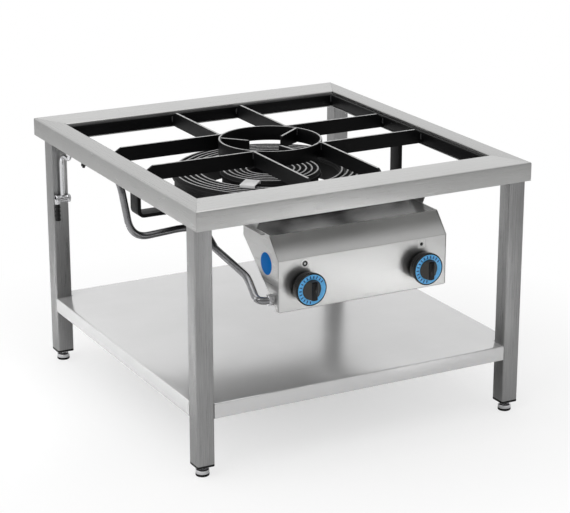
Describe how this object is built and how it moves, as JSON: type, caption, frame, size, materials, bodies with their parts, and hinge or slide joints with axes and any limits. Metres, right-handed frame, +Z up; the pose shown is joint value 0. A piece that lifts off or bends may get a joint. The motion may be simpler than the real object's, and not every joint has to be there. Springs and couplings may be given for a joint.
{
  "type": "stock pot range",
  "caption": "Low gas stove for a stock pot: steel table with shelf, lift-off grate, concentric ring burners, control box with push-and-turn knobs and screw feet.",
  "frame": {"origin": "on the floor, under the middle of the stove's bounding box", "axes": "+Z up, -Y towards the user, where the knobs are, +X to the user's right"},
  "size_m": [0.6, 0.6734, 0.436],
  "materials": {
    "table_steel": "satin stainless sheet, grain along each member",
    "leg_steel": "satin stainless tube, grain along the leg",
    "shelf_steel": "bright-rolled stainless sheet",
    "box_steel": "satin stainless sheet",
    "grate_enamel": "black vitreous enamel, worn to grey along the top edges",
    "burner_iron": "blacked cast iron, ridges rubbed brighter",
    "black_plastic": "moulded black thermoset and nylon",
    "dial_blue": "smooth pale blue plastic ring",
    "valve_brass": "machined and lightly dulled",
    "bright_plate": "bright nickel or zinc plate",
    "pipe_steel": "bright drawn steel tube, dark at the sides"
  },
  "bodies": {
    "table": {"frame_front": "table_steel", "frame_back": "table_steel", "frame_left": "table_steel", "frame_right": "table_steel", "leg_front_left": "leg_steel", "leg_front_right": "leg_steel", "leg_back_left": "leg_steel", "leg_back_right": "leg_steel", "leg_cap_front_left": "black_plastic", "leg_cap_front_right": "black_plastic", "leg_cap_back_left": "black_plastic", "leg_cap_back_right": "black_plastic", "shelf": "shelf_steel", "shelf_stiffener": "shelf_steel", "outer_burner_body": "burner_iron", "outer_burner_cap": "burner_iron", "inner_burner_body": "burner_iron", "inner_burner_cap": "burner_iron", "burner_hanger": "grate_enamel", "pilot_shroud": "bright_plate", "control_panel": "box_steel", "box_side_left": "box_steel", "box_side_right": "box_steel", "gas_rail": "pipe_steel", "gas_valve_left": "valve_brass", "gas_valve_right": "valve_brass", "injector_pipe_left": "valve_brass", "injector_pipe_right": "valve_brass", "supply_pipe": "pipe_steel", "inlet_pipe": "bright_plate", "inlet_tee": "bright_plate", "inlet_hose_tail": "black_plastic"},
    "grate": {"grate_rim_left": "grate_enamel", "grate_rim_right": "grate_enamel", "grate_rim_front": "grate_enamel", "grate_rim_back": "grate_enamel", "grate_bar_x_front_left": "grate_enamel", "grate_bar_x_front_right": "grate_enamel", "grate_bar_x_back_left": "grate_enamel", "grate_bar_x_back_right": "grate_enamel", "grate_bar_y_front_left": "grate_enamel", "grate_bar_y_front_right": "grate_enamel", "grate_bar_y_back_left": "grate_enamel", "grate_bar_y_back_right": "grate_enamel", "grate_ring": "grate_enamel", "grate_prong_1": "grate_enamel", "grate_prong_2": "grate_enamel", "grate_prong_3": "grate_enamel"},
    "foot_front_left": {"foot_front_left": "bright_plate"},
    "foot_front_right": {"foot_front_right": "bright_plate"},
    "foot_back_left": {"foot_back_left": "bright_plate"},
    "foot_back_right": {"foot_back_right": "bright_plate"},
    "push_left": {"push_collar_left": "bright_plate"},
    "push_right": {"push_collar_right": "bright_plate"},
    "knob_left": {"knob_left": "black_plastic", "dial_left": "dial_blue", "spindle_left": "valve_brass"},
    "knob_right": {"knob_right": "black_plastic", "dial_right": "dial_blue", "spindle_right": "valve_brass"}
  },
  "joints": [
    {"name": "grate_lift", "type": "slide", "parent": "table", "child": "grate", "axis": [0, 0, 1], "range_m": [0, 0.06]},
    {"name": "foot_front_left_screw", "type": "slide", "parent": "table", "child": "foot_front_left", "axis": [0, 0, -1], "range_m": [0, 0.015]},
    {"name": "foot_front_right_screw", "type": "slide", "parent": "table", "child": "foot_front_right", "axis": [0, 0, -1], "range_m": [0, 0.015]},
    {"name": "foot_back_left_screw", "type": "slide", "parent": "table", "child": "foot_back_left", "axis": [0, 0, -1], "range_m": [0, 0.015]},
    {"name": "foot_back_right_screw", "type": "slide", "parent": "table", "child": "foot_back_right", "axis": [0, 0, -1], "range_m": [0, 0.015]},
    {"name": "knob_left_push", "type": "slide", "parent": "table", "child": "push_left", "axis": [0, 1, 0], "range_m": [0, 0.004], "stiffness_N_per_m": 1500, "springref_m": -0.004},
    {"name": "knob_right_push", "type": "slide", "parent": "table", "child": "push_right", "axis": [0, 1, 0], "range_m": [0, 0.004], "stiffness_N_per_m": 1500, "springref_m": -0.004},
    {"name": "knob_left_turn", "type": "hinge", "parent": "push_left", "child": "knob_left", "pos_m": [-0.106, -0.30765, 0.285], "axis": [0, -1, 0], "range_deg": [0, 180]},
    {"name": "knob_right_turn", "type": "hinge", "parent": "push_right", "child": "knob_right", "pos_m": [0.106, -0.30765, 0.285], "axis": [0, -1, 0], "range_deg": [0, 180]}
  ]
}
